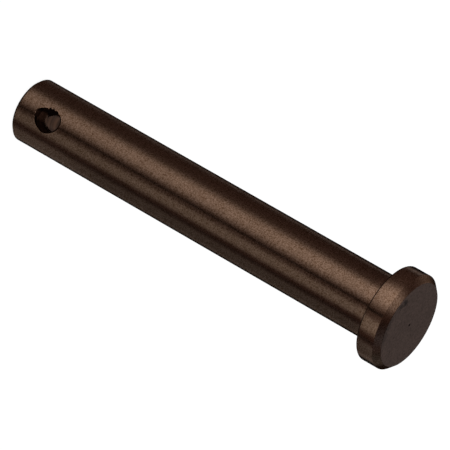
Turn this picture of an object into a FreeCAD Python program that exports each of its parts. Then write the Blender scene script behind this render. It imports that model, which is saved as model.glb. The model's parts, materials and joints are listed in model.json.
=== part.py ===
import FreeCAD, Part
import math
import os

# A clevis pin, one solid: a plain round shank, a flat disc head and a cross hole for a cotter.
# Millimetres. The pin stands on its tip. The origin is the centre of the tip's flat end, +Z runs
# along the pin to the head, and the cross hole runs along Y.

# Shank
SHANK_DIAMETER = 6.3
SHANK_LENGTH = 41.35
TIP_CHAMFER = 0.32

# Head
HEAD_DIAMETER = 9.46
HEAD_HEIGHT = 2.38
HEAD_CHAMFER = 0.56
NECK_FILLET = 0.2

# Edges that are only broken, not chamfered to a size
TIP_EDGE_ROUND = 0.1
HEAD_RIM_ROUND = 0.18
HEAD_FACE_ROUND = 0.08

# Cross hole, with a drilled countersink at both mouths
HOLE_DIAMETER = 2.3
HOLE_FROM_TIP = 3.65
COUNTERSINK_DEPTH = 0.27
COUNTERSINK_ANGLE = 90.0

# Centre mark that the parting tool leaves on the head's face
CENTRE_MARK_DIAMETER = 0.3
CENTRE_MARK_DEPTH = 0.08

AXIS = FreeCAD.Vector(0, 0, 1)
CROSS = FreeCAD.Vector(0, 1, 0)


def rounded_outline(corners):
    """Wire in the XZ plane through corners (x, z, radius), with a tangent arc at each radius."""
    points = [FreeCAD.Vector(x, 0, z) for x, z, radius in corners]
    starts, arcs, ends = [], [], []
    for index, (x, z, radius) in enumerate(corners):
        corner = points[index]
        to_last = (points[index - 1] - corner).normalize()
        to_next = (points[(index + 1) % len(points)] - corner).normalize()
        half_angle = to_last.getAngle(to_next) / 2
        reach = radius / math.tan(half_angle)
        arc_start = corner + to_last * reach
        arc_end = corner + to_next * reach
        starts.append(arc_start)
        ends.append(arc_end)
        if radius > 0:
            inward = (to_last + to_next).normalize()
            middle = corner + inward * (radius / math.sin(half_angle) - radius)
            arcs.append(Part.Arc(arc_start, middle, arc_end).toShape())
        else:
            arcs.append(None)
    edges = []
    for index in range(len(corners)):
        if arcs[index]:
            edges.append(arcs[index])
        edges.append(Part.makeLine(ends[index], starts[(index + 1) % len(corners)]))
    return Part.Wire(edges)


def turned_blank():
    """Shank and head in one, as the lathe leaves them: half the section, revolved."""
    shank_radius = SHANK_DIAMETER / 2
    head_radius = HEAD_DIAMETER / 2
    top = SHANK_LENGTH + HEAD_HEIGHT
    section = [
        (0, 0, 0),
        (shank_radius - TIP_CHAMFER, 0, TIP_EDGE_ROUND),
        (shank_radius, TIP_CHAMFER, TIP_EDGE_ROUND),
        (shank_radius, SHANK_LENGTH, NECK_FILLET),
        (head_radius, SHANK_LENGTH, HEAD_RIM_ROUND),
        (head_radius, top - HEAD_CHAMFER, HEAD_FACE_ROUND),
        (head_radius - HEAD_CHAMFER, top, HEAD_FACE_ROUND),
        (CENTRE_MARK_DIAMETER / 2, top, 0),
        (0, top - CENTRE_MARK_DEPTH, 0),
    ]
    face = Part.Face(rounded_outline(section))
    return face.revolve(FreeCAD.Vector(0, 0, 0), AXIS, 360)


def cross_drill():
    """The cotter hole's drill: a through hole along Y, opening to a cone at each mouth."""
    shank_radius = SHANK_DIAMETER / 2
    hole_radius = HOLE_DIAMETER / 2
    cone_start = shank_radius - COUNTERSINK_DEPTH
    flare = math.tan(math.radians(COUNTERSINK_ANGLE / 2))
    cone_reach = 2 * COUNTERSINK_DEPTH
    centre = FreeCAD.Vector(0, 0, HOLE_FROM_TIP)
    drill = Part.makeCylinder(
        hole_radius, SHANK_DIAMETER, centre - CROSS * shank_radius, CROSS
    )
    for direction in (CROSS, CROSS * -1):
        cone = Part.makeCone(
            hole_radius,
            hole_radius + cone_reach * flare,
            cone_reach,
            centre + direction * cone_start,
            direction,
        )
        drill = drill.fuse(cone)
    return drill


def clevis_pin():
    return turned_blank().cut(cross_drill()).removeSplitter()


def main():
    os.makedirs("parts", exist_ok=True)
    pin = clevis_pin()
    pin.exportStep("parts/clevis_pin.step")
    print("volume mm3", round(pin.Volume, 3), "valid", pin.isValid(), "solids", len(pin.Solids))


main()
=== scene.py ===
import json
import math
from collections import namedtuple

import bmesh
import bpy
from mathutils import Matrix, Vector, noise


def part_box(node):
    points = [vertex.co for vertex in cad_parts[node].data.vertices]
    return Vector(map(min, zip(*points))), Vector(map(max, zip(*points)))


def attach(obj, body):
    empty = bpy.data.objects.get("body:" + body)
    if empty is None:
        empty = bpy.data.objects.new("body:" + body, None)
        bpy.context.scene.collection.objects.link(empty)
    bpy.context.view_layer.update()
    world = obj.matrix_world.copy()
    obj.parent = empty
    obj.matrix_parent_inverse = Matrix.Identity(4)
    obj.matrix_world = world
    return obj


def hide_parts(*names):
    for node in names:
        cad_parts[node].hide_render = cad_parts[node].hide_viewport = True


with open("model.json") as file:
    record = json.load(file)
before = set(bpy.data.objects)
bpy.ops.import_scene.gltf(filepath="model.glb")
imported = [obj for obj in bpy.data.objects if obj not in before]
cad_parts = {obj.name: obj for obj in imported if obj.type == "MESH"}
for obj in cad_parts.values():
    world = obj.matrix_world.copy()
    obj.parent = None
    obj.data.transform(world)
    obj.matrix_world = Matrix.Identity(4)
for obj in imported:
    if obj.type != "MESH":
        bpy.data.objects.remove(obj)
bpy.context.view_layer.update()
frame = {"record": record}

# A clevis pin that stands on its tip. Metres, in the frame of the CAD model: +Z runs from the tip
# to the head, and the cross hole runs along Y with the photographed mouth at -Y.

MM = 0.001

# Camera, as fitted to the photograph's outline of the pin
CAMERA_LENS_MM = 374.4
CAMERA_SENSOR_MM = 36.0
CAMERA_AZIMUTH = -3.99
CAMERA_ELEVATION = 25.71
CAMERA_ROLL = 119.87
CAMERA_DISTANCE = 423.14 * MM
CAMERA_AIM = Vector((0.4405, -0.0307, 23.1286)) * MM
CAMERA_CLIP_START = 0.01
CAMERA_CLIP_END = 10.0

# Sizes that the CAD model's mounts and box do not give
TIP_CHAMFER = 0.32 * MM
TIP_EDGE_ROUND = 0.1 * MM
HEAD_CHAMFER = 0.56 * MM
NECK_FILLET = 0.2 * MM
HEAD_RIM_ROUND = 0.18 * MM
HEAD_FACE_ROUND = 0.08 * MM
COUNTERSINK_DEPTH = 0.27 * MM
CENTRE_MARK_RADIUS = 0.15 * MM
CENTRE_MARK_DEPTH = 0.08 * MM

# Mesh fineness
TURNS = 300
DRILL_TURNS = 288
ARC_STEPS = 6
RING_STEP = 0.6 * MM
DRILL_RING_STEP = 0.06 * MM
MERGE_DISTANCE = 0.0005 * MM
ON_AXIS = 1e-9
RIM_PASSES = 20

# Edges that bend by more degrees than this stay sharp
PIN_SHARP_ANGLE = 24
FLAP_SHARP_ANGLE = 40

# Material slots of the pin's mesh, and how far a flat end's face may lean from level
TURNED, FACED, DRILLED = 0, 1, 2
FACED_LEAST_UPRIGHT = 0.8

# A face belongs to the cross hole where it is nearer to the hole's axis than the mouth reaches, and
# nearer to the pin's axis than the skin of the shank
BORED_REACH_SHARE = 1.2
BORED_SKIN_SHARE = 0.9985


def mount(name):
    return next(m for m in frame["record"]["mounts"] if m["name"] == name)


LOW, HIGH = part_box("clevis_pin")
SHANK_RADIUS = mount("shank")["dims"]["r_mm"] * MM
HOLE_RADIUS = mount("cotter_hole")["dims"]["r_mm"] * MM
HOLE_HEIGHT = mount("cotter_hole")["pos_m"][2]
HEAD_UNDERSIDE = mount("under_head")["pos_m"][2]
HEAD_RADIUS = HIGH.x
HEAD_TOP = HIGH.z


# Geometry


def placed(name, data):
    """New object of a mesh or a camera, put in the scene."""
    thing = bpy.data.objects.new(name, data)
    bpy.context.scene.collection.objects.link(thing)
    return thing


def mesh_data(mesh, name):
    """Mesh data of what was built, with all faces turned outwards."""
    bmesh.ops.recalc_face_normals(mesh, faces=mesh.faces)
    data = bpy.data.meshes.new(name)
    mesh.to_mesh(data)
    mesh.free()
    return data


def rounded_outline(corners):
    """Points (x, z) along a profile of corners (x, z, radius), with an arc at each radius."""
    outline = []
    for index, (x, z, radius) in enumerate(corners):
        corner = Vector((x, z))
        if radius == 0:
            outline.append(corner)
            continue
        to_last = (Vector(corners[index - 1][:2]) - corner).normalized()
        to_next = (Vector(corners[index + 1][:2]) - corner).normalized()
        half_angle = to_last.angle(to_next) / 2
        centre = corner + (to_last + to_next).normalized() * radius / math.sin(half_angle)
        start = corner + to_last * radius / math.tan(half_angle) - centre
        sweep = math.pi - 2 * half_angle
        turn = math.copysign(1, to_last.x * to_next.y - to_last.y * to_next.x)
        for step in range(ARC_STEPS + 1):
            angle = -turn * sweep * step / ARC_STEPS
            outline.append(centre + Matrix.Rotation(angle, 2) @ start)
    return outline


def divided(outline, longest):
    """The same outline with its long straight runs cut into steps."""
    points = [outline[0]]
    for start, end in zip(outline, outline[1:]):
        steps = max(1, math.ceil((end - start).length / longest))
        points += [start.lerp(end, step / steps) for step in range(1, steps + 1)]
    return points


def revolved(name, outline, turns, place):
    """Object of an outline (radius, height) turned about an axis.

    place(angle, radius, height) gives the point in space.
    """
    mesh = bmesh.new()
    rings = []
    for radius, height in outline:
        if radius < ON_AXIS:
            rings.append([mesh.verts.new(place(0, 0, height))])
        else:
            angles = [2 * math.pi * k / turns for k in range(turns)]
            rings.append([mesh.verts.new(place(angle, radius, height)) for angle in angles])
    for lower, upper in zip(rings, rings[1:]):
        for k in range(turns):
            corners = [
                lower[k % len(lower)],
                lower[(k + 1) % len(lower)],
                upper[(k + 1) % len(upper)],
                upper[k % len(upper)],
            ]
            mesh.faces.new(dict.fromkeys(corners))
    return placed(name, mesh_data(mesh, name))


def turned_point(angle, radius, height):
    return (radius * math.cos(angle), radius * math.sin(angle), height)


def turned_blank():
    """Shank and head in one, as the lathe leaves them."""
    corners = [
        (0, 0, 0),
        (SHANK_RADIUS - TIP_CHAMFER, 0, TIP_EDGE_ROUND),
        (SHANK_RADIUS, TIP_CHAMFER, TIP_EDGE_ROUND),
        (SHANK_RADIUS, HEAD_UNDERSIDE, NECK_FILLET),
        (HEAD_RADIUS, HEAD_UNDERSIDE, HEAD_RIM_ROUND),
        (HEAD_RADIUS, HEAD_TOP - HEAD_CHAMFER, HEAD_FACE_ROUND),
        (HEAD_RADIUS - HEAD_CHAMFER, HEAD_TOP, HEAD_FACE_ROUND),
        (CENTRE_MARK_RADIUS, HEAD_TOP, 0),
        (0, HEAD_TOP - CENTRE_MARK_DEPTH, 0),
    ]
    outline = divided(rounded_outline(corners), RING_STEP)
    return revolved("clevis_pin_turned", outline, TURNS, turned_point)


# Torn teeth at the photographed mouth: angle about the hole from +Z towards -X, and reach inwards
# in mm. A reach under zero is a notch.
TEETH = (
    (9, -0.04),
    (54, 0.08),
    (69, -0.02),
    (81, 0.12),
    (91, -0.02),
    (100, 0.13),
    (107, -0.06),
    (117, 0.23),
    (127, 0.1),
    (136, 0.03),
)
TOOTH_HALF_WIDTH = 7.0
# Where the hand-dressed mouth stands in from a true circle, or out from it: angle, reach in mm and
# half width in degrees
LOBES = (
    (27, -0.037, 32),
    (167, -0.15, 27),
    (202, 0.03, 20),
    (268, -0.09, 32),
    (321, 0.035, 32),
)
TOOTH_ROOT = 0.5 * MM
TOOTH_CROWN = 0.3 * MM
# Marks that the drill leaves round the wall of the hole. The noise is read on a slightly skewed
# ring, so that the marks wander. The straight wall, which alone has them, is what lies within this
# share of the hole's radius.
DRILL_MARK_DEPTH = 0.004 * MM
DRILL_MARKS_PER_MM = 6.0
DRILL_MARK_SKEW = 0.35
DRILL_MARK_SLICE = 1.3
DRILL_MARK_WANDER = 0.6
STRAIGHT_WALL_SHARE = 1.001


def smooth_step(value, low, high):
    share = min(max((value - low) / (high - low), 0.0), 1.0)
    return share * share * (3 - 2 * share)


def mouth_reach(angle):
    """How far the mouth's edge stands in from a true circle at an angle about the hole."""
    degrees = math.degrees(angle)
    teeth = sum(reach * max(0.0, 1 - abs(degrees - at) / TOOTH_HALF_WIDTH) for at, reach in TEETH)
    lobes = sum(reach * smooth_step(abs(degrees - at), width, 0.0) for at, reach, width in LOBES)
    return MM * (teeth + lobes)


def drill_point(angle, radius, height):
    """Point of the drill at an angle from +Z towards -X.

    The height is along -Y, out of the photographed mouth.
    """
    reach = radius
    if radius > 0:
        near_mouth = smooth_step(height, SHANK_RADIUS - TOOTH_ROOT, SHANK_RADIUS - TOOTH_CROWN)
        reach -= mouth_reach(angle) * near_mouth
    if 0 < radius < HOLE_RADIUS * STRAIGHT_WALL_SHARE:
        along = height / MM * DRILL_MARKS_PER_MM + angle * DRILL_MARK_SKEW
        ring = Vector((along, DRILL_MARK_SLICE, math.sin(angle) * DRILL_MARK_WANDER))
        reach += noise.noise(ring) * DRILL_MARK_DEPTH
    return (-reach * math.sin(angle), -height, HOLE_HEIGHT + reach * math.cos(angle))


def drill():
    """The cross hole as a solid: a straight hole that opens to a cone at each mouth."""
    end = SHANK_RADIUS + COUNTERSINK_DEPTH
    sink = SHANK_RADIUS - COUNTERSINK_DEPTH
    wide = HOLE_RADIUS + 2 * COUNTERSINK_DEPTH
    outline = [Vector((0, -end)), Vector((wide, -end)), Vector((HOLE_RADIUS, -sink))]
    outline += [Vector((HOLE_RADIUS, sink)), Vector((wide, end)), Vector((0, end))]
    return revolved("cross_drill", divided(outline, DRILL_RING_STEP), DRILL_TURNS, drill_point)


def is_bored(centre):
    """Whether a face's centre lies on the wall of the cross hole."""
    away = math.hypot(centre.x, centre.z - HOLE_HEIGHT)
    under_skin = math.hypot(centre.x, centre.y) < SHANK_RADIUS * BORED_SKIN_SHARE
    return away < HOLE_RADIUS + COUNTERSINK_DEPTH * BORED_REACH_SHARE and under_skin


def without_slivers(mesh):
    """The same mesh with the vertices merged that a cut leaves on top of each other."""
    cleaned = bmesh.new()
    cleaned.from_mesh(mesh)
    bmesh.ops.remove_doubles(cleaned, verts=cleaned.verts, dist=MERGE_DISTANCE)
    bmesh.ops.dissolve_degenerate(cleaned, edges=cleaned.edges, dist=MERGE_DISTANCE)
    cleaned.to_mesh(mesh)
    cleaned.free()
    return mesh


def clevis_pin(materials):
    """The turned blank with the cross hole cut through it, in its three materials."""
    blank = turned_blank()
    tool = drill()
    cut = blank.modifiers.new("cross_hole", "BOOLEAN")
    cut.operation = "DIFFERENCE"
    cut.solver = "EXACT"
    cut.object = tool
    evaluated = blank.evaluated_get(bpy.context.evaluated_depsgraph_get())
    mesh = without_slivers(bpy.data.meshes.new_from_object(evaluated))
    bpy.data.objects.remove(blank)
    bpy.data.objects.remove(tool)
    mesh.materials.clear()
    for material in materials:
        mesh.materials.append(material)
    for face in mesh.polygons:
        if is_bored(face.center):
            face.material_index = DRILLED
        elif abs(face.normal.z) > FACED_LEAST_UPRIGHT:
            face.material_index = FACED
        else:
            face.material_index = TURNED
    mesh.shade_smooth()
    mesh.set_sharp_from_angle(angle=math.radians(PIN_SHARP_ANGLE))
    pin = placed("clevis_pin_dressed", mesh)
    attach(pin, "root")
    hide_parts("clevis_pin")
    return pin


# The flap of torn metal that hangs into the photographed mouth. Its free edge, from its tip end to
# its head end: angle about the hole from +Z towards -X, distance from the hole's axis and depth
# under the pin's crown, in mm.
FLAP_EDGE = (
    (124, 1.16, 0.2),
    (121.6, 1.01, 0.22),
    (125, 0.73, 0.28),
    (130, 0.45, 0.35),
    (114, 0.41, 0.35),
    (96, 0.46, 0.35),
    (78, 0.56, 0.35),
    (70, 0.71, 0.33),
    (65.5, 0.85, 0.28),
    (63, 1.08, 0.22),
)
FLAP_ROOT_ANGLES = (125, 64)
FLAP_ROOT_DEPTH = 0.24 * MM
FLAP_SINK = 0.06 * MM
FLAP_THICKNESS = 0.07 * MM
FLAP_COLUMNS = 54
FLAP_ROWS = 10
# Crinkles of the flap. They grow from none at its root to full at this share of its width. Vector
# noise is shifted by a random amount, and the seed makes that the same in every run.
FLAP_CRINKLE = 0.035 * MM
FLAP_CRINKLES_PER_MM = 7.0
FLAP_CRINKLE_FULL = 0.5
FLAP_CRINKLE_SEED = 1


def mouth_point(degrees, away, depth):
    """Point at an angle about the hole, a distance from its axis and a depth under the crown."""
    angle = math.radians(degrees)
    across = -away * math.sin(angle)
    return Vector((across, depth - SHANK_RADIUS, HOLE_HEIGHT + away * math.cos(angle)))


def mouth_radius(degrees):
    """Distance from the hole's axis to the countersink's rim, which follows the round shank."""
    cone = HOLE_RADIUS + COUNTERSINK_DEPTH
    away = cone
    for _ in range(RIM_PASSES):
        across = away * math.sin(math.radians(degrees))
        away = cone - SHANK_RADIUS + math.sqrt(SHANK_RADIUS**2 - across**2)
    return away


def flap_point(along, inward):
    """Point of the flap.

    Along runs from its tip end to its head end, and inward from its root to its free edge.
    """
    place = along * (len(FLAP_EDGE) - 1)
    index = min(int(place), len(FLAP_EDGE) - 2)
    first, second = Vector(FLAP_EDGE[index]), Vector(FLAP_EDGE[index + 1])
    degrees, away, depth = first.lerp(second, place - index)
    free = mouth_point(degrees, away * MM, depth * MM)
    root_degrees = FLAP_ROOT_ANGLES[0] + (FLAP_ROOT_ANGLES[1] - FLAP_ROOT_ANGLES[0]) * along
    root = mouth_point(root_degrees, mouth_radius(root_degrees) + FLAP_SINK, FLAP_ROOT_DEPTH)
    point = root.lerp(free, inward)
    ragged = noise.noise_vector(point / MM * FLAP_CRINKLES_PER_MM) * FLAP_CRINKLE
    return point + ragged * min(1.0, inward / FLAP_CRINKLE_FULL)


def flap_sheet(mesh, depth):
    """Vertices of one side of the flap, as columns along the mouth and rows inwards."""
    sunk = Vector((0, depth, 0))
    columns = []
    for c in range(FLAP_COLUMNS + 1):
        points = [flap_point(c / FLAP_COLUMNS, r / FLAP_ROWS) + sunk for r in range(FLAP_ROWS + 1)]
        columns.append([mesh.verts.new(point) for point in points])
    return columns


def torn_flap(material):
    """Thin crinkled flap: two sheets, closed all round their rim."""
    noise.seed_set(FLAP_CRINKLE_SEED)
    mesh = bmesh.new()
    outer = flap_sheet(mesh, 0)
    inner = flap_sheet(mesh, FLAP_THICKNESS)
    for c in range(FLAP_COLUMNS):
        for r in range(FLAP_ROWS):
            mesh.faces.new((outer[c][r], outer[c + 1][r], outer[c + 1][r + 1], outer[c][r + 1]))
            mesh.faces.new((inner[c][r], inner[c][r + 1], inner[c + 1][r + 1], inner[c + 1][r]))
    rim = [(c, 0) for c in range(FLAP_COLUMNS)]
    rim += [(FLAP_COLUMNS, r) for r in range(FLAP_ROWS)]
    rim += [(c, FLAP_ROWS) for c in range(FLAP_COLUMNS, 0, -1)]
    rim += [(0, r) for r in range(FLAP_ROWS, 0, -1)]
    for (c, r), (next_c, next_r) in zip(rim, rim[1:] + rim[:1]):
        mesh.faces.new((outer[c][r], inner[c][r], inner[next_c][next_r], outer[next_c][next_r]))
    data = mesh_data(mesh, "torn_flap")
    data.materials.append(material)
    data.shade_smooth()
    data.set_sharp_from_angle(angle=math.radians(FLAP_SHARP_ANGLE))
    flap = placed("torn_flap", data)
    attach(flap, "root")
    return flap


# Materials. Scales of noise are in cells per metre. A shade multiplies a colour. Where two values
# stand in brackets, they are the two ends of a range or of a fade. Azimuths are in degrees from -Y
# towards +X.

BRONZE_DARK = (0.2, 0.102, 0.05, 1.0)
BRONZE_LIGHT = (0.6, 0.396, 0.284, 1.0)
FACE_BRONZE = (0.293, 0.217, 0.184, 1.0)
BORE_BRONZE = (0.169, 0.088, 0.051, 1.0)
SHADED_WALL = (0.062, 0.027, 0.017, 1.0)
# Near black for the torn flap: painted shade
SHADED_FLAP = (0.015, 0.007, 0.006, 1.0)
GRAZING_TINT = (0.2, 0.23, 0.27, 1.0)

# The range that most of a noise texture lies in
NOISE_RANGE = (0.3, 0.7)

# Turned metal blurs reflections across its marks, a quarter turn from the way round the pin
TURNED_ANISOTROPY = 0.9
QUARTER_TURN = 0.25

# Grain of the turned surfaces
MARKS_SCALE = (400, 400, 6500)
MARKS_SHADE = (0.91, 1.09)
MARKS_DEPTH = 0.003 * MM
MOTTLE_SCALE = 8500
MOTTLE_DEPTH = 0.004 * MM
TURNED_ROUGHNESS = (0.28, 0.32)
ROUGHNESS_TIP_TO_HEAD = (1.03, 0.9)

# Painted highlight round the hole's rim: the shade at the rim, and how far out it fades
RIM_HIGHLIGHT = 1.2
RIM_HIGHLIGHT_FADE = (0.05 * MM, 0.16 * MM)

# Painted light: the shade changes from the tip to the head as the light falls, on the front
# otherwise than on the rest of the shank. The whole head has the front's shade.
FRONT_AZIMUTH = -8
FRONT_HALF_WIDTH = 42
FRONT_FADE = 14
FRONT_LIGHT_TIP_TO_HEAD = (0.89, 1.14)
REST_LIGHT_TIP_TO_HEAD = (1.04, 1.0)

# Painted light: a lighter patch beside the hole, for light caught at grazing angles: how much
# lighter it is at its foot, and the heights where it fades
PATCH_AZIMUTH = 54
PATCH_HALF_WIDTH = 19
PATCH_FADE = 22
PATCH_LIGHT = 0.5
PATCH_HEIGHTS = (3.5 * MM, 12 * MM)

# Painted reflection at the neck, of light off the head's underside: the depths under the head where
# it starts and is full
NECK_REFLECTION = 1.13
NECK_DEPTHS = (1.55 * MM, 1.1 * MM)

# Painted shade in the corner under the head: its height over the underside, and how far away it
# fades
CORNER_PAINTED_SHADE = 0.3
CORNER_SHADE_RISE = 0.05 * MM
CORNER_SHADE_FADE = (0.06 * MM, 0.14 * MM)

# The head, which is a little lighter, and its side, which is smoother. The step is how far the
# change runs over and under the head's underside.
HEAD_STEP = 0.05 * MM
HEAD_SHADE = 1.08
HEAD_GRAIN_LOSS = 0.08
HEAD_SIDE_FADE = 0.06 * MM
HEAD_SIDE_SHADE = (0.99, 1.13)
HEAD_SIDE_ROUGHNESS_SHARE = 0.85

# Grain and specks of the flat ends
FACE_MOTTLE_SCALE = 5500
FACE_MOTTLE_SHADE = (0.7, 1.3)
FACE_MOTTLE_DEPTH = 0.004 * MM
FACE_CLOUD_SCALE = 700
FACE_CLOUD_SHADE = (0.95, 1.05)
SPECK_SCALE = 2600
SPECK_RANGE = (0.7, 0.76)
SPECK_SHADE = 0.6
FACE_ROUGHNESS = 0.5

# Dark spots on the head's face: centre and radius in mm, and the shade in their middle
SPOTS = (((-1.72, -3.03, 43.73), 0.5, 0.25), ((-1.18, -3.48, 43.73), 0.5, 0.45))
SPOT_CORE = 0.1 * MM
SPOT_RAGGEDNESS = 0.15 * MM
# Stretch of the face's edge with painted shade, which softens the edge, as a row of spots at these
# azimuths, with a radius in mm
EDGE_SHADE_AZIMUTHS = (2, 12, 22, 32)
EDGE_SHADE_RADIUS = 0.8
EDGE_PAINTED_SHADE = 0.68
# Painted shade in the centre mark
MARK_PAINTED_SHADE = 0.2
MARK_SHADE_FADE = (0.12 * MM, 0.17 * MM)

# Wall of the cross hole: bright and ringed in the middle, with painted shade from both mouths that
# reaches further in at the hole's left and right than towards the tip and the head
RINGS_SCALE = (300, 2100, 300)
RINGS_SHADE = (0.45, 1.55)
RINGS_DEPTH = 0.001 * MM
SMEARS_SCALE = (2500, 1200, 2500)
SMEARS_SHADE = (0.5, 1.5)
SHADE_REACH = 1.73 * MM
SHADE_BEND = 0.95 / MM
SHADE_FADE = (-0.25 * MM, 0.1 * MM)
SHADE_DEPTHS = (0.4 * MM, 1.6 * MM)
WALL_SHADE_BY_DEPTH = (0.5, 1.3)
SHADE_LEFT_FADE = (-0.55 * MM, -0.25 * MM)
WALL_LEFT_SHADE = 0.22
SHADE_RIGHT_FADE = (0.05 * MM, 0.5 * MM)
WALL_RIGHT_SHADE = 0.24
COUNTERSINK_FADE = (0.01 * MM, 0.04 * MM)
COUNTERSINK_SHADE = 0.22
SHADED_WALL_ROUGHNESS = 0.5
BRIGHT_ROUGHNESS = 0.06

# The torn flap
CRUMB_SCALE = 9000
CRUMB_SHADE = (0.5, 1.5)
CRUMB_DEPTH = 0.02 * MM
BURR_ROUGHNESS = 0.55


class Nodes:
    """Short forms for building a node tree."""

    def __init__(self, tree):
        self.tree = tree
        tree.nodes.clear()

    def add(self, kind, **settings):
        node = self.tree.nodes.new(kind)
        for name, value in settings.items():
            setattr(node, name, value)
        return node

    def feed(self, socket, value):
        if isinstance(value, bpy.types.NodeSocket):
            self.tree.links.new(value, socket)
        else:
            socket.default_value = value

    def math(self, operation, a, b=0.0):
        node = self.add("ShaderNodeMath", operation=operation)
        self.feed(node.inputs[0], a)
        self.feed(node.inputs[1], b)
        return node.outputs[0]

    def product(self, first, *others):
        """All the factors multiplied, in their order."""
        for other in others:
            first = self.math("MULTIPLY", first, other)
        return first

    def apart(self, value, centre):
        """How far a value lies from a centre, either way."""
        return self.math("ABSOLUTE", self.math("SUBTRACT", value, centre))

    def length(self, a, b):
        """Length of two offsets at right angles."""
        squares = self.math("ADD", self.math("POWER", a, 2), self.math("POWER", b, 2))
        return self.math("SQRT", squares)

    def vector(self, operation, a, b):
        node = self.add("ShaderNodeVectorMath", operation=operation)
        self.feed(node.inputs[0], a)
        self.feed(node.inputs[1], b)
        return node.outputs["Vector"]

    def distance(self, a, b):
        node = self.add("ShaderNodeVectorMath", operation="DISTANCE")
        self.feed(node.inputs[0], a)
        self.feed(node.inputs[1], b)
        return node.outputs["Value"]

    def scaled(self, vector, amount):
        node = self.add("ShaderNodeVectorMath", operation="SCALE")
        self.feed(node.inputs[0], vector)
        self.feed(node.inputs["Scale"], amount)
        return node.outputs["Vector"]

    def split(self, vector):
        """X, Y and Z of a vector."""
        node = self.add("ShaderNodeSeparateXYZ")
        self.feed(node.inputs[0], vector)
        return node.outputs["X"], node.outputs["Y"], node.outputs["Z"]

    def place(self):
        """The point of the piece that is being shaded."""
        return self.add("ShaderNodeTexCoord").outputs["Object"]

    def noise(self, vector, scale, detail, roughness):
        """Noise, with a scale for all three directions or one for each."""
        if isinstance(scale, tuple):
            vector = self.vector("MULTIPLY", vector, scale)
            scale = 1.0
        node = self.add("ShaderNodeTexNoise")
        self.feed(node.inputs["Vector"], vector)
        node.inputs["Scale"].default_value = scale
        node.inputs["Detail"].default_value = detail
        node.inputs["Roughness"].default_value = roughness
        return node.outputs["Fac"]

    def mapped(self, value, low, high, to_low, to_high, smooth=False):
        node = self.add("ShaderNodeMapRange")
        if smooth:
            node.interpolation_type = "SMOOTHSTEP"
        self.feed(node.inputs["Value"], value)
        self.feed(node.inputs["From Min"], low)
        self.feed(node.inputs["From Max"], high)
        self.feed(node.inputs["To Min"], to_low)
        self.feed(node.inputs["To Max"], to_high)
        return node.outputs["Result"]

    def spread(self, grain, low, high):
        """A noise, with the range that most of it lies in stretched to another."""
        return self.mapped(grain, *NOISE_RANGE, low, high)

    def faded(self, distance, reach, fade):
        """1 inside a reach and 0 outside it, with a soft edge of the given width."""
        return self.mapped(distance, reach - fade / 2, reach + fade / 2, 1, 0, smooth=True)

    def tinted(self, colour, amount):
        """Colour times a grey amount."""
        node = self.add("ShaderNodeMix", data_type="RGBA", blend_type="MULTIPLY")
        node.inputs["Factor"].default_value = 1.0
        self.feed(node.inputs["A"], colour)
        self.feed(node.inputs["B"], amount)
        return node.outputs["Result"]

    def mixed(self, first, second, share):
        node = self.add("ShaderNodeMix", data_type="RGBA")
        self.feed(node.inputs["Factor"], share)
        self.feed(node.inputs["A"], first)
        self.feed(node.inputs["B"], second)
        return node.outputs["Result"]

    def bump(self, height, strength, depth, normal=None):
        node = self.add("ShaderNodeBump")
        node.inputs["Strength"].default_value = strength
        node.inputs["Distance"].default_value = depth
        self.feed(node.inputs["Height"], height)
        if normal:
            self.feed(node.inputs["Normal"], normal)
        return node.outputs["Normal"]


def new_material(name):
    material = bpy.data.materials.new(name)
    material.use_nodes = True
    return material, Nodes(material.node_tree)


def metal_shader(nodes, colour, roughness, normal):
    shader = nodes.add("ShaderNodeBsdfPrincipled")
    shader.inputs["Metallic"].default_value = 1.0
    nodes.feed(shader.inputs["Base Color"], colour)
    nodes.feed(shader.inputs["Roughness"], roughness)
    nodes.feed(shader.inputs["Normal"], normal)
    output = nodes.add("ShaderNodeOutputMaterial")
    nodes.feed(output.inputs["Surface"], shader.outputs[0])
    return shader


def from_hole(nodes, x, z):
    """Distance of a point from the axis of the cross hole."""
    return nodes.length(x, nodes.math("SUBTRACT", z, HOLE_HEIGHT))


def painted_rim_highlight(nodes, x, y, z):
    """Painted highlight: a lighter band round the hole's rim."""
    rim = HOLE_RADIUS + COUNTERSINK_DEPTH - SHANK_RADIUS
    cone = nodes.math("ADD", nodes.math("ABSOLUTE", y), rim)
    outside = nodes.math("SUBTRACT", from_hole(nodes, x, z), cone)
    return nodes.mapped(outside, *RIM_HIGHLIGHT_FADE, RIM_HIGHLIGHT, 1.0, smooth=True)


def painted_light_along_pin(nodes, bearing, z, on_head):
    """Painted light: the shade changes from the tip to the head."""
    from_front = nodes.apart(bearing, math.radians(FRONT_AZIMUTH))
    in_front = nodes.faded(from_front, math.radians(FRONT_HALF_WIDTH), math.radians(FRONT_FADE))
    front = nodes.mapped(z, 0, HEAD_TOP, *FRONT_LIGHT_TIP_TO_HEAD)
    rest = nodes.mapped(z, 0, HEAD_TOP, *REST_LIGHT_TIP_TO_HEAD)
    return nodes.mapped(nodes.math("MAXIMUM", in_front, on_head), 0, 1, rest, front)


def painted_light_patch(nodes, bearing, z):
    """Painted light: a lighter patch near the tip, beside the hole."""
    from_patch = nodes.apart(bearing, math.radians(PATCH_AZIMUTH))
    patch = nodes.faded(from_patch, math.radians(PATCH_HALF_WIDTH), math.radians(PATCH_FADE))
    patch_light = nodes.mapped(z, *PATCH_HEIGHTS, PATCH_LIGHT, 0, smooth=True)
    return nodes.math("ADD", nodes.product(patch, patch_light), 1.0)


def painted_neck_reflection(nodes, z, on_head):
    """Painted reflection: the shank lighter just under the head."""
    start, full = (HEAD_UNDERSIDE - depth for depth in NECK_DEPTHS)
    neck = nodes.mapped(z, start, full, 1.0, NECK_REFLECTION, smooth=True)
    return nodes.mapped(on_head, 0, 1, neck, 1.0)


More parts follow.
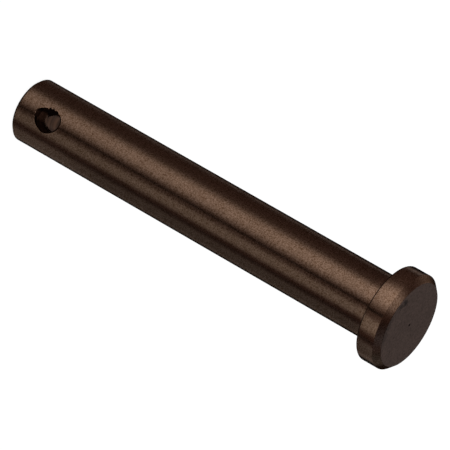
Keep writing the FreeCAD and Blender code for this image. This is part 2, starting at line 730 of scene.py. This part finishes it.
def painted_corner_shade(nodes, z):
    """Painted shade in the corner under the head."""
    away = nodes.apart(z, HEAD_UNDERSIDE + CORNER_SHADE_RISE)
    return nodes.mapped(away, *CORNER_SHADE_FADE, CORNER_PAINTED_SHADE, 1.0, smooth=True)


def turned_bronze():
    """Brown finish over turned steel: fine marks round the pin and a mottle, with painted light and
    shade: a highlight round the hole's rim, light along the pin and in a patch, a reflection at the
    neck and shade in the corner under the head.
    """
    material, nodes = new_material("turned_bronze")
    place = nodes.place()
    x, y, z = nodes.split(place)
    marks = nodes.noise(place, MARKS_SCALE, detail=3.0, roughness=0.6)
    mottle = nodes.noise(place, MOTTLE_SCALE, detail=1.5, roughness=0.6)
    bearing = nodes.math("ARCTAN2", x, nodes.math("MULTIPLY", y, -1))
    on_head = nodes.mapped(z, HEAD_UNDERSIDE - HEAD_STEP, HEAD_UNDERSIDE + HEAD_STEP, 0, 1)
    least = nodes.math("MULTIPLY", on_head, HEAD_GRAIN_LOSS)
    most = nodes.math("SUBTRACT", 1.0, least)
    bronze = nodes.mixed(BRONZE_DARK, BRONZE_LIGHT, nodes.spread(mottle, least, most))

    side_top = HEAD_TOP - HEAD_CHAMFER
    from_side = nodes.apart(z, (HEAD_UNDERSIDE + side_top) / 2)
    on_side = nodes.faded(from_side, (side_top - HEAD_UNDERSIDE) / 2, HEAD_SIDE_FADE)
    side_shade = nodes.mapped(z, HEAD_UNDERSIDE, side_top, *HEAD_SIDE_SHADE)
    # Marks, then painted highlight at the rim, painted light along the pin, the lighter head, a
    # painted light patch, painted reflection at the neck, painted shade in the corner, and the
    # side's shade
    shade = nodes.product(
        nodes.spread(marks, *MARKS_SHADE),
        painted_rim_highlight(nodes, x, y, z),
        painted_light_along_pin(nodes, bearing, z, on_head),
        nodes.mapped(on_head, 0, 1, 1.0, HEAD_SHADE),
        painted_light_patch(nodes, bearing, z),
        painted_neck_reflection(nodes, z, on_head),
        painted_corner_shade(nodes, z),
        nodes.mapped(on_side, 0, 1, 1.0, side_shade),
    )
    roughness = nodes.product(
        nodes.spread(mottle, *TURNED_ROUGHNESS),
        nodes.mapped(z, 0, HEAD_TOP, *ROUGHNESS_TIP_TO_HEAD),
        nodes.mapped(on_side, 0, 1, 1.0, HEAD_SIDE_ROUGHNESS_SHARE),
    )
    normal = nodes.bump(marks, strength=0.3, depth=MARKS_DEPTH)
    normal = nodes.bump(mottle, strength=0.3, depth=MOTTLE_DEPTH, normal=normal)
    shader = metal_shader(nodes, nodes.tinted(bronze, shade), roughness, normal)
    shader.inputs["Specular Tint"].default_value = GRAZING_TINT
    shader.inputs["Anisotropic"].default_value = TURNED_ANISOTROPY
    shader.inputs["Anisotropic Rotation"].default_value = QUARTER_TURN
    tangent = nodes.add("ShaderNodeTangent", direction_type="RADIAL", axis="Z")
    nodes.feed(shader.inputs["Tangent"], tangent.outputs[0])
    return material


def face_spots():
    """Centre, radius and shade of each dark spot and of the spots that paint shade along the face's
    edge.
    """
    edge_radius = (HEAD_RADIUS - HEAD_CHAMFER) / MM
    spots = list(SPOTS)
    for azimuth in map(math.radians, EDGE_SHADE_AZIMUTHS):
        x, y = edge_radius * math.sin(azimuth), -edge_radius * math.cos(azimuth)
        spots.append(((x, y, HEAD_TOP / MM), EDGE_SHADE_RADIUS, EDGE_PAINTED_SHADE))
    return spots


def faced_bronze():
    """The same finish on the flat ends, duller, with specks and dark spots, and painted shade along
    part of the edge and in the centre mark.
    """
    material, nodes = new_material("faced_bronze")
    place = nodes.place()
    x, y, _ = nodes.split(place)
    mottle = nodes.noise(place, FACE_MOTTLE_SCALE, detail=3.0, roughness=0.6)
    cloud = nodes.noise(place, FACE_CLOUD_SCALE, detail=2.0, roughness=0.5)
    specks = nodes.noise(place, SPECK_SCALE, detail=1.0, roughness=0.5)
    shade = nodes.product(
        nodes.spread(mottle, *FACE_MOTTLE_SHADE),
        nodes.spread(cloud, *FACE_CLOUD_SHADE),
        nodes.mapped(specks, *SPECK_RANGE, 1.0, SPECK_SHADE),
    )
    ragged = nodes.spread(mottle, -SPOT_RAGGEDNESS, SPOT_RAGGEDNESS)
    for centre, radius, darkest in face_spots():
        reach = nodes.math("ADD", nodes.distance(place, Vector(centre) * MM), ragged)
        spot = nodes.mapped(reach, SPOT_CORE, radius * MM, darkest, 1.0, smooth=True)
        shade = nodes.product(shade, spot)
    mark_shade = nodes.mapped(nodes.length(x, y), *MARK_SHADE_FADE, MARK_PAINTED_SHADE, 1.0)
    shade = nodes.product(shade, mark_shade)
    normal = nodes.bump(mottle, strength=0.3, depth=FACE_MOTTLE_DEPTH)
    metal_shader(nodes, nodes.tinted(FACE_BRONZE, shade), FACE_ROUGHNESS, normal)
    return material


def drilled_bronze():
    """Wall of the cross hole: bright and ringed in the middle, dull towards the mouths, with painted
    shade there.
    """
    material, nodes = new_material("drilled_bronze")
    place = nodes.place()
    x, y, z = nodes.split(place)
    inward = nodes.math("SUBTRACT", SHANK_RADIUS, nodes.math("ABSOLUTE", y))
    bend = nodes.math("MULTIPLY", nodes.math("POWER", x, 2), SHADE_BEND)
    past_shade = nodes.math("SUBTRACT", inward, nodes.math("ADD", bend, SHADE_REACH))
    lit_share = nodes.mapped(past_shade, *SHADE_FADE, 0, 1, smooth=True)
    rings = nodes.noise(place, RINGS_SCALE, detail=2.0, roughness=0.6)
    smears = nodes.noise(place, SMEARS_SCALE, detail=3.0, roughness=0.6)
    sink_start, sink_end = (HOLE_RADIUS + past for past in COUNTERSINK_FADE)
    # Painted shade of the wall near the mouths, by depth and side, and on the countersink
    shade = nodes.product(
        nodes.spread(smears, *SMEARS_SHADE),
        nodes.mapped(from_hole(nodes, x, z), sink_start, sink_end, 1.0, COUNTERSINK_SHADE),
        nodes.mapped(inward, *SHADE_DEPTHS, *WALL_SHADE_BY_DEPTH),
        nodes.mapped(x, *SHADE_LEFT_FADE, WALL_LEFT_SHADE, 1.0),
        nodes.mapped(x, *SHADE_RIGHT_FADE, 1.0, WALL_RIGHT_SHADE),
    )
    bright = nodes.tinted(BORE_BRONZE, nodes.spread(rings, *RINGS_SHADE))
    colour = nodes.mixed(nodes.tinted(SHADED_WALL, shade), bright, lit_share)
    roughness = nodes.mapped(lit_share, 0, 1, SHADED_WALL_ROUGHNESS, BRIGHT_ROUGHNESS)
    normal = nodes.bump(rings, strength=0.2, depth=RINGS_DEPTH)
    shader = metal_shader(nodes, colour, roughness, normal)
    nodes.feed(shader.inputs["Metallic"], lit_share)
    shader.inputs["Specular IOR Level"].default_value = 0.0
    return material


def scorched_burr():
    """The torn flap: near black as painted shade, dull and crumbled."""
    material, nodes = new_material("scorched_burr")
    crumbs = nodes.noise(nodes.place(), CRUMB_SCALE, detail=3.0, roughness=0.7)
    colour = nodes.tinted(SHADED_FLAP, nodes.spread(crumbs, *CRUMB_SHADE))
    normal = nodes.bump(crumbs, strength=0.6, depth=CRUMB_DEPTH)
    metal_shader(nodes, colour, BURR_ROUGHNESS, normal)
    return material


# Stage: floor, studio light and camera

FLOOR_SIZE = 4.0
FLOOR_GAP = 0.01 * MM
FLOOR_GLOW_SHARE = 0.9
FLOOR_GLOW = 1.05
SKY_STRENGTH = 1.0
WHITE = (1.0, 1.0, 1.0, 1.0)

# The studio that the metal mirrors, in degrees: azimuth 0 is at -Y and 90 at +X. A panel gives
# light, and a flag, with a strength under zero, takes some of the dim room's light away.
PANEL_FIELDS = (
    "azimuth",
    "half_width",
    "width_fade",
    "elevation",
    "half_height",
    "height_fade",
    "strength",
    "tint",
)
Panel = namedtuple("Panel", PANEL_FIELDS)
PALE = (1.0, 1.0, 1.0)
FRESH = (1.0, 1.09, 1.1)
COOL = (1.0, 1.24, 1.55)
COLD = (1.0, 1.4, 1.6)
ICY = (1.0, 2.1, 3.2)
RUDDY = (1.0, 0.64, 0.6)
RUSTY = (1.0, 0.58, 0.46)
PANELS = {
    "main": Panel(-34, 24.5, 36, 7.5, 54.5, 30, 0.383, PALE),
    "main_spill": Panel(-64, 26, 40, 0, 60, 24, 0.03, PALE),
    "main_high": Panel(-66, 22, 24, 66, 20, 20, 0.14, PALE),
    "second": Panel(41.5, 15, 13, -42, 43, 24, 0.179, FRESH),
    "second_spill": Panel(21, 9, 5, -30, 55, 24, 0.034, PALE),
    "side": Panel(116, 31, 12, -30, 55, 24, 0.047, COLD),
    "side_high": Panel(96, 25, 14, 60, 18, 14, 0.024, ICY),
    "back": Panel(187, 39, 40, 25, 31, 10, 0.16, PALE),
    "left_fill": Panel(-118, 20, 30, -35, 50, 24, 0.01, PALE),
    "edge_left": Panel(-140, 6, 6, -30, 30, 16, 0.28, COOL),
    "edge_right": Panel(132, 6, 6, -30, 30, 16, 0.22, COOL),
    "gap_flag": Panel(8.2, 2.5, 4, -30, 38, 24, -0.058, RUDDY),
    "side_gap_flag": Panel(76, 4, 5, -30, 55, 24, -0.028, RUSTY),
    "high_flag": Panel(50, 22, 12, 60, 16, 16, -0.026, RUDDY),
    "side_high_flag": Panel(128, 26, 16, 20, 18, 14, -0.024, RUDDY),
    "low_flag": Panel(192, 50, 12, -2, 13, 12, -0.08, PALE),
    "right_flag": Panel(148, 14, 12, -2, 13, 12, -0.05, PALE),
    "back_flag": Panel(176, 34, 6, -45, 40, 16, -0.041, RUDDY),
}
DIM_ROOM_STRENGTH = 0.041
DIM_ROOM_TINT = RUDDY


def panel_light(nodes, east, south, height, panel):
    """Colour of the light that a direction gets from one panel."""
    cosine = math.cos(math.radians(panel.azimuth))
    sine = math.sin(math.radians(panel.azimuth))
    along = nodes.math("ADD", nodes.product(south, cosine), nodes.product(east, sine))
    across = nodes.math("SUBTRACT", nodes.product(east, cosine), nodes.product(south, sine))
    bearing = nodes.math("ABSOLUTE", nodes.math("ARCTAN2", across, along))
    rise = nodes.apart(height, math.radians(panel.elevation))
    in_width = nodes.faded(bearing, math.radians(panel.half_width), math.radians(panel.width_fade))
    in_height = nodes.faded(rise, math.radians(panel.half_height), math.radians(panel.height_fade))
    return nodes.scaled(Vector(panel.tint) * panel.strength, nodes.product(in_width, in_height))


def studio_world():
    """Even white light on the floor, and soft panels with dark gaps for the metal to mirror."""
    world = bpy.data.worlds.new("studio")
    world.use_nodes = True
    world.cycles.sampling_method = "NONE"
    nodes = Nodes(world.node_tree)
    east, north, up = nodes.split(nodes.add("ShaderNodeTexCoord").outputs["Generated"])
    south = nodes.math("MULTIPLY", north, -1)
    height = nodes.math("ARCSINE", up)
    total = Vector(DIM_ROOM_TINT) * DIM_ROOM_STRENGTH
    for panel in PANELS.values():
        total = nodes.vector("ADD", panel_light(nodes, east, south, height, panel), total)
    total = nodes.vector("MAXIMUM", total, Vector((0, 0, 0)))
    mirrored = nodes.add("ShaderNodeBackground")
    nodes.feed(mirrored.inputs["Color"], total)
    sky = nodes.add("ShaderNodeBackground")
    sky.inputs["Color"].default_value = WHITE
    sky.inputs["Strength"].default_value = SKY_STRENGTH
    path = nodes.add("ShaderNodeLightPath")
    choice = nodes.add("ShaderNodeMixShader")
    nodes.feed(choice.inputs[0], path.outputs["Is Glossy Ray"])
    nodes.feed(choice.inputs[1], sky.outputs[0])
    nodes.feed(choice.inputs[2], mirrored.outputs[0])
    output = nodes.add("ShaderNodeOutputWorld")
    nodes.feed(output.inputs["Surface"], choice.outputs[0])
    bpy.context.scene.world = world


def floor():
    """Plain pale floor just under the tip, which the metal doesn't mirror."""
    material, nodes = new_material("pale_floor")
    surface = nodes.add("ShaderNodeBsdfDiffuse")
    surface.inputs["Color"].default_value = WHITE
    glow = nodes.add("ShaderNodeEmission")
    glow.inputs["Color"].default_value = WHITE
    glow.inputs["Strength"].default_value = FLOOR_GLOW
    lit = nodes.add("ShaderNodeMixShader")
    nodes.feed(lit.inputs[0], FLOOR_GLOW_SHARE)
    nodes.feed(lit.inputs[1], surface.outputs[0])
    nodes.feed(lit.inputs[2], glow.outputs[0])
    output = nodes.add("ShaderNodeOutputMaterial")
    nodes.feed(output.inputs["Surface"], lit.outputs[0])
    half = FLOOR_SIZE / 2
    corners = [(-half, -half, 0), (half, -half, 0), (half, half, 0), (-half, half, 0)]
    mesh = bpy.data.meshes.new("floor")
    mesh.from_pydata(corners, [], [(0, 1, 2, 3)])
    mesh.materials.append(material)
    plane = placed("floor", mesh)
    plane.location.z = LOW.z - FLOOR_GAP
    plane.visible_glossy = False


def photo_camera():
    """Camera at the photograph's viewing angle, rolled as the photograph is."""
    data = bpy.data.cameras.new("photo_camera")
    data.lens = CAMERA_LENS_MM
    data.sensor_width = CAMERA_SENSOR_MM
    data.clip_start = CAMERA_CLIP_START
    data.clip_end = CAMERA_CLIP_END
    azimuth = math.radians(CAMERA_AZIMUTH)
    elevation = math.radians(CAMERA_ELEVATION)
    back_x = math.sin(azimuth) * math.cos(elevation)
    back_y = -math.cos(azimuth) * math.cos(elevation)
    back = Vector((back_x, back_y, math.sin(elevation)))
    level = Vector((0, 0, 1)).cross(back).normalized()
    upright = back.cross(level)
    roll = Matrix.Rotation(math.radians(CAMERA_ROLL), 3, "Z")
    turned = Matrix((level, upright, back)).transposed() @ roll
    camera = placed("photo_camera", data)
    camera.matrix_world = Matrix.Translation(CAMERA_AIM + back * CAMERA_DISTANCE) @ turned.to_4x4()
    bpy.context.scene.camera = camera


clevis_pin([turned_bronze(), faced_bronze(), drilled_bronze()])
torn_flap(scorched_burr())
floor()
studio_world()
photo_camera()
bpy.context.scene.view_settings.view_transform = "Standard"
